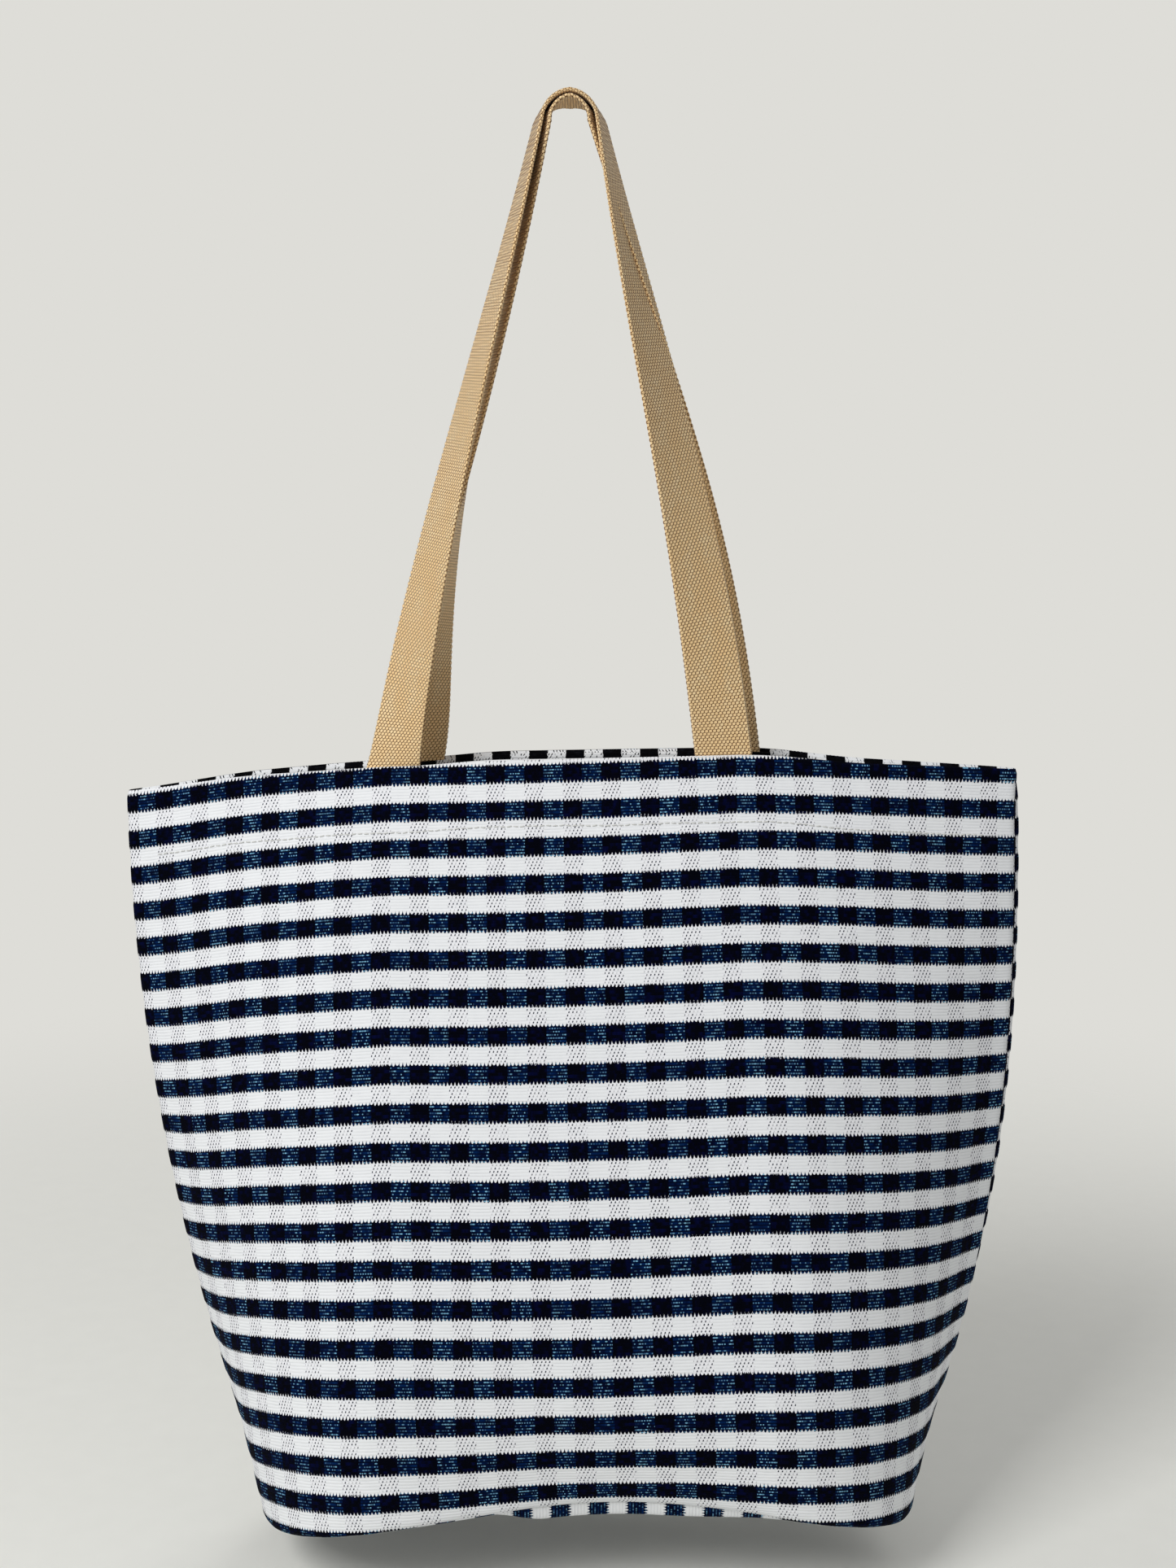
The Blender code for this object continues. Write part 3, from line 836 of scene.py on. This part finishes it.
def make_check_cloth():
    """The face: navy and white weft over black and white warp."""
    graph = Graph("check_cloth", 0.9, 0.0, 0.05)
    u, v = graph.uv()
    black, navy = stripes(graph, u, v)
    pick_cell = weave_cells(graph, u, v, 15.0, 12.0, 0.5)
    pick, down = pick_cell[1], pick_cell[3]
    blue, fleck = blue_squares(graph, u, v, pick_cell)
    white, dot = white_rows(graph, u, v, pick_cell, black)
    haze = graph.noise(graph.vector(graph.times(u, 5.0), graph.times(pick, 1.9), 8.0), 1.0, 2.0)
    dark = graph.mix(graph.ramp(haze, 0.45, 0.75), colour(0, 1, 10), colour(1, 6, 46))
    base = graph.mix(navy, white, graph.mix(black, blue, dark))

    rib = graph.minus(0.5, graph.math("ABSOLUTE", down))
    slub = graph.noise(graph.vector(graph.times(u, 6.0), graph.times(pick, 1.7), 1.0), 1.0, 2.0)
    knots = graph.times(graph.math("MAXIMUM", fleck, dot), navy, 0.08)
    height = graph.add(graph.times(rib, 0.26), graph.times(slub, 0.16), knots)
    return graph.finish(base, height, 0.001)


def make_cloth_reverse():
    """The reverse: black squares, and white ones flecked with the crossing threads."""
    graph = Graph("cloth_reverse", 0.9, 0.0, 0.05)
    u, v = graph.uv()
    black, navy = stripes(graph, u, graph.add(v, 0.5))
    end, pick, across, down = weave_cells(graph, u, v, 12.0, 14.0, 0.5)
    luck = graph.chance(end, pick, 1.0)
    lean = graph.minus(across, graph.times(down, graph.minus(graph.times(luck, 1.6), 0.8)))
    fleck = graph.times(oval(graph, lean, down, 0.2, 0.5), graph.ramp(luck, 0.35, 0.6))
    flecked = graph.mix(fleck, colour(236, 238, 240), colour(24, 27, 34))
    pale = graph.mix(graph.times(fleck, 0.6), colour(236, 238, 240), colour(40, 46, 60))
    haze = graph.noise(graph.vector(graph.times(u, 5.0), graph.times(pick, 1.9), 8.0), 1.0, 2.0)
    dark = graph.mix(graph.ramp(haze, 0.5, 0.8), colour(5, 5, 8), colour(22, 23, 30))
    light = graph.mix(navy, flecked, pale)
    base = graph.mix(black, light, dark)
    rib = graph.minus(0.5, graph.math("ABSOLUTE", down))
    height = graph.add(graph.times(rib, 0.25), graph.times(fleck, 0.1))
    return graph.finish(base, height, 0.001)


def make_webbing():
    """Beige cotton webbing: leaning seeds in staggered rows, with painted shade in the dark brown gaps
    between them.
    """
    graph = Graph("webbing", 0.8, 0.25, 0.2)
    u, v = graph.uv()
    row_place = graph.times(v, 2.0)
    row = graph.math("ROUND", row_place)
    down = graph.minus(row_place, row)
    seed_place = graph.add(u, graph.times(row, 0.5))
    seed = graph.math("ROUND", seed_place)
    across = graph.minus(seed_place, seed)
    luck = graph.chance(seed, row, 1.0)
    lean = graph.minus(across, graph.times(down, 0.10))
    body = oval(graph, lean, down, 0.45, 0.58)
    soft = graph.noise(graph.vector(graph.times(u, 0.23), graph.times(v, 0.12)), 1.0, 2.0)
    fibre = graph.noise(graph.vector(graph.times(u, 7.0), graph.times(v, 2.5), 3.0), 1.0, 2.0)
    shade = graph.add(graph.times(luck, 0.5), graph.times(fibre, 0.5))
    lit = graph.mix(shade, colour(240, 203, 146), colour(254, 230, 184))
    tone = graph.mix(graph.ramp(soft, 0.3, 0.7), lit, colour(246, 211, 156))
    # painted shade: the gaps between the raised seeds are dark brown
    base = graph.mix(body, colour(118, 72, 30), tone)
    height = graph.add(graph.times(body, 0.3), graph.times(fibre, 0.08))
    return graph.finish(base, height, 0.001)


def make_thread():
    """Twisted white sewing thread, with painted shade in the grooves of its twist."""
    graph = Graph("thread", 0.7, 0.2, 0.3)
    u, v = graph.uv()
    twist = graph.math("SINE", graph.times(graph.add(graph.times(u, 5.0), v), 2.0 * math.pi))
    # painted shade: greyer in the grooves of the twist, where the bump is low
    base = graph.mix(graph.ramp(twist, -0.6, 0.6), colour(214, 215, 212), colour(240, 240, 236))
    return graph.finish(base, graph.times(twist, 0.04), 0.001)


def make_overcast():
    """White thread wrapped over the two raw edges of a seam."""
    graph = Graph("overcast_thread", 0.8, 0.2, 0.2)
    u, v = graph.uv()
    wrap = graph.math("SINE", graph.times(graph.add(v, graph.times(u, 0.4)), 2.0 * math.pi))
    fray = graph.noise(graph.vector(graph.times(u, 3.0), graph.times(v, 5.0)), 1.0, 2.0)
    under = graph.mix(graph.ramp(fray, 0.4, 0.6), colour(22, 30, 52), colour(168, 172, 178))
    base = graph.mix(graph.ramp(wrap, -0.7, 0.1), under, colour(228, 228, 224))
    return graph.finish(base, graph.add(graph.times(wrap, 0.15), graph.times(fray, 0.1)), 0.001)


# ---------------------------------------------------------------- the stage

def make_camera():
    """The photograph's viewpoint: level with the straps' middle, looking a little down."""
    data = bpy.data.cameras.new("camera")
    data.sensor_width = 36.0
    data.lens = 43.45
    camera = bpy.data.objects.new("camera", data)
    camera.location = (0.0093, -0.996, -0.2216)
    camera.rotation_euler = (math.radians(90.0 - 7.3), 0.0, 0.0)
    bpy.context.scene.collection.objects.link(camera)
    bpy.context.scene.camera = camera


def make_stage():
    """A plain pale floor just under the hanging bag, which melts into the backdrop with distance."""
    bpy.ops.mesh.primitive_plane_add(size=4.0, location=(0.0, 0.0, WALL_LOW.z - 0.035))
    floor = bpy.context.object
    floor.name = "floor"
    graph = Graph("floor", 0.9, 0.0, 0.05)
    coordinates = graph.nodes.new("ShaderNodeTexCoord").outputs["Object"]
    grain = graph.noise(coordinates, 60.0, 3.0)
    base = graph.mix(grain, colour(236, 236, 230), colour(240, 240, 234))
    floor.data.materials.append(graph.finish(base, grain, 0.0001))
    distance = graph.nodes.new("ShaderNodeVectorMath")
    distance.operation = "LENGTH"
    graph.links.new(coordinates, distance.inputs[0])
    fade = graph.nodes.new("ShaderNodeMixShader")
    graph.feed(fade.inputs[0], graph.ramp(distance.outputs["Value"], 0.35, 1.30))
    graph.links.new(graph.shader.outputs[0], fade.inputs[1])
    graph.links.new(graph.nodes.new("ShaderNodeBsdfTransparent").outputs[0], fade.inputs[2])
    graph.links.new(fade.outputs[0], graph.nodes["Material Output"].inputs["Surface"])


def add_light(name, location, target, size, power):
    data = bpy.data.lights.new(name, "AREA")
    data.shape = "SQUARE"
    data.size = size
    data.energy = power
    light = bpy.data.objects.new(name, data)
    light.location = location
    light.rotation_euler = (Vector(target) - Vector(location)).to_track_quat("-Z", "Y").to_euler()
    bpy.context.scene.collection.objects.link(light)


def light_scene():
    """A pale backdrop, a weaker soft light all round, a key light from the left and a back light."""
    world = bpy.data.worlds.new("studio")
    world.use_nodes = True
    nodes = world.node_tree.nodes
    links = world.node_tree.links
    backdrop = nodes["Background"]
    backdrop.inputs[0].default_value = colour(222, 221, 216)
    ambient = nodes.new("ShaderNodeBackground")
    ambient.inputs[0].default_value = colour(222, 222, 222)
    ambient.inputs[1].default_value = 0.50
    path = nodes.new("ShaderNodeLightPath")
    mix = nodes.new("ShaderNodeMixShader")
    links.new(path.outputs["Is Camera Ray"], mix.inputs[0])
    links.new(ambient.outputs[0], mix.inputs[1])
    links.new(backdrop.outputs[0], mix.inputs[2])
    links.new(mix.outputs[0], nodes["World Output"].inputs[0])
    bpy.context.scene.world = world
    bpy.context.scene.view_settings.view_transform = "Standard"
    add_light("key", (-1.1, -1.4, 1.0), (0.0, 0.0, -0.4), 1.0, 33.0)
    add_light("back_fill", (0.8, 1.6, 0.8), (0.0, 0.0, -0.4), 1.2, 9.0)


# ---------------------------------------------------------------- assembly

make_camera()
light_scene()
make_stage()

check_cloth = make_check_cloth()
cloth_reverse = make_cloth_reverse()
webbing = make_webbing()
thread = make_thread()
overcast = make_overcast()

walls = {side: Wall(side) for _, side in SIDES}

for word, side in SIDES:
    wall = walls[side]

    panel = make_wall(f"{word}_wall", wall, [check_cloth, cloth_reverse])
    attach(panel, "bag")
    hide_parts(f"{word}_panel")

    facing = make_facing(f"{word}_facing_strip", wall, [cloth_reverse, cloth_reverse])
    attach(facing, "bag")
    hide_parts(f"{word}_facing")

    stitches = make_hem_stitches(f"{word}_hem_stitches", wall, thread)
    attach(stitches, "bag")
    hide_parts(f"{word}_hem_stitching")

    for hand_word, hand in HANDS:
        tack = make_tack(f"{word}_tack_{hand_word}", wall, hand, thread)
        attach(tack, "bag")
        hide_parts(f"{word}_strap_tack_{hand_word}")

    strap = make_strap(f"{word}_webbing", wall, webbing)
    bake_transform(strap)
    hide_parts(f"{word}_strap", f"{word}_strap_end_left", f"{word}_strap_end_right")

base = make_base("base", walls[FRONT], walls[BACK], [check_cloth, cloth_reverse])
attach(base, "bag")
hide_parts("base_panel")

for hand_word, hand in HANDS:
    seam = make_side_seam(f"{hand_word}_seam_allowance", walls[FRONT], walls[BACK], hand, overcast)
    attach(seam, "bag")
    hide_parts(f"{hand_word}_side_seam")

base_seam = make_base_seam("base_seam_allowance", walls[FRONT], walls[BACK], overcast)
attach(base_seam, "bag")
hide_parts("base_seam")
